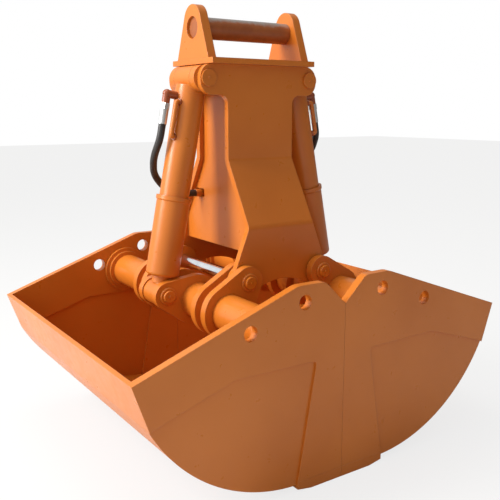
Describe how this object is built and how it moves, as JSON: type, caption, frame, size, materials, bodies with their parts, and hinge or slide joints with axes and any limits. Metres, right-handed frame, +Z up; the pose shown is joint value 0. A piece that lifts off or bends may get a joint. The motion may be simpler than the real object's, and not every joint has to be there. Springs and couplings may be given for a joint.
{
  "type": "clamshell bucket",
  "caption": "Hydraulic clamshell bucket: two hinged shells under a folded-plate head frame, with a cylinder for each shell and a crane coupling pin.",
  "frame": {"origin": "on the floor, under the middle of the closed bucket", "axes": "+Z up along the suspension line; +X is the way the right shell opens; +Y runs along the bucket's width, away from the front"},
  "size_m": [1.282, 1, 1.34],
  "materials": {
    "orange_enamel": "semi-gloss orange machinery enamel",
    "red_enamel": "semi-gloss red-brown enamel",
    "worn_enamel": "enamel worn to grey steel along the top",
    "bright_steel": "polished hard chrome",
    "plain_steel": "zinc-plated or plain machined steel",
    "hose_rubber": "ribbed black rubber cover"
  },
  "bodies": {
    "frame": {"frame_plate_front": "orange_enamel", "frame_plate_rear": "orange_enamel", "frame_web_left": "orange_enamel", "frame_web_right": "orange_enamel", "head_plate": "orange_enamel", "coupling_ear_left": "orange_enamel", "coupling_ear_right": "orange_enamel", "coupling_pin": "worn_enamel", "head_pin_left": "orange_enamel", "head_pin_right": "orange_enamel", "pivot_bushes": "plain_steel", "supply_manifold": "orange_enamel", "hose_left": "hose_rubber", "hose_right": "hose_rubber"},
    "left_shell": {"left_side_plate_front": "orange_enamel", "left_side_plate_rear": "orange_enamel", "left_side_infill_front": "orange_enamel", "left_side_infill_rear": "orange_enamel", "left_outer_wall": "orange_enamel", "left_bottom_sheet": "orange_enamel", "left_lip": "orange_enamel", "left_cross_tube": "orange_enamel", "left_tube_flanges": "orange_enamel", "left_hinge_ears": "orange_enamel", "left_clevis_plates": "orange_enamel", "left_hinge_pin": "bright_steel", "left_clevis_pin": "bright_steel", "left_pin_caps": "orange_enamel"},
    "left_barrel": {"left_barrel_tube": "orange_enamel", "left_barrel_eye": "orange_enamel", "left_gland": "plain_steel", "left_port_fittings": "red_enamel", "left_transfer_pipe": "plain_steel", "left_hose_ferrule": "plain_steel"},
    "left_rod": {"left_piston_rod": "bright_steel", "left_rod_eye": "orange_enamel", "left_rod_guard": "orange_enamel"},
    "right_shell": {"right_side_plate_front": "orange_enamel", "right_side_plate_rear": "orange_enamel", "right_side_infill_front": "orange_enamel", "right_side_infill_rear": "orange_enamel", "right_outer_wall": "orange_enamel", "right_bottom_sheet": "orange_enamel", "right_lip": "orange_enamel", "right_cross_tube": "orange_enamel", "right_tube_flanges": "orange_enamel", "right_hinge_ears": "orange_enamel", "right_clevis_plates": "orange_enamel", "right_hinge_pin": "bright_steel", "right_clevis_pin": "bright_steel", "right_pin_caps": "orange_enamel"},
    "right_barrel": {"right_barrel_tube": "orange_enamel", "right_barrel_eye": "orange_enamel", "right_gland": "plain_steel", "right_port_fittings": "red_enamel", "right_transfer_pipe": "plain_steel", "right_hose_ferrule": "plain_steel"},
    "right_rod": {"right_piston_rod": "bright_steel", "right_rod_eye": "orange_enamel", "right_rod_guard": "orange_enamel"}
  },
  "joints": [
    {"name": "left_shell_hinge", "type": "hinge", "parent": "frame", "child": "left_shell", "pos_m": [-0.14, 0, 0.539], "axis": [0, 1, 0], "range_deg": [0, 50]},
    {"name": "left_barrel_swing", "type": "hinge", "parent": "frame", "child": "left_barrel", "pos_m": [-0.186, 0, 1.126], "axis": [0, 1, 0], "range_deg": [0, 2.4], "deforming": ["hose_left"]},
    {"name": "left_rod_slide", "type": "slide", "parent": "left_barrel", "child": "left_rod", "axis": [0.1949, 0, 0.9808], "range_m": [0, 0.152]},
    {"name": "right_shell_hinge", "type": "hinge", "parent": "frame", "child": "right_shell", "pos_m": [0.14, 0, 0.539], "axis": [0, -1, 0], "range_deg": [0, 50]},
    {"name": "right_barrel_swing", "type": "hinge", "parent": "frame", "child": "right_barrel", "pos_m": [0.186, 0, 1.126], "axis": [0, -1, 0], "range_deg": [0, 2.4], "deforming": ["hose_right"]},
    {"name": "right_rod_slide", "type": "slide", "parent": "right_barrel", "child": "right_rod", "axis": [-0.1949, 0, 0.9808], "range_m": [0, 0.152]}
  ],
  "couplings": [
    {"joint": "left_barrel_swing", "follows": "left_shell_hinge", "ratio": 0.047},
    {"joint": "left_rod_slide", "follows": "left_shell_hinge", "m_per_rad": 0.173},
    {"joint": "right_barrel_swing", "follows": "right_shell_hinge", "ratio": 0.047},
    {"joint": "right_rod_slide", "follows": "right_shell_hinge", "m_per_rad": 0.173}
  ]
}
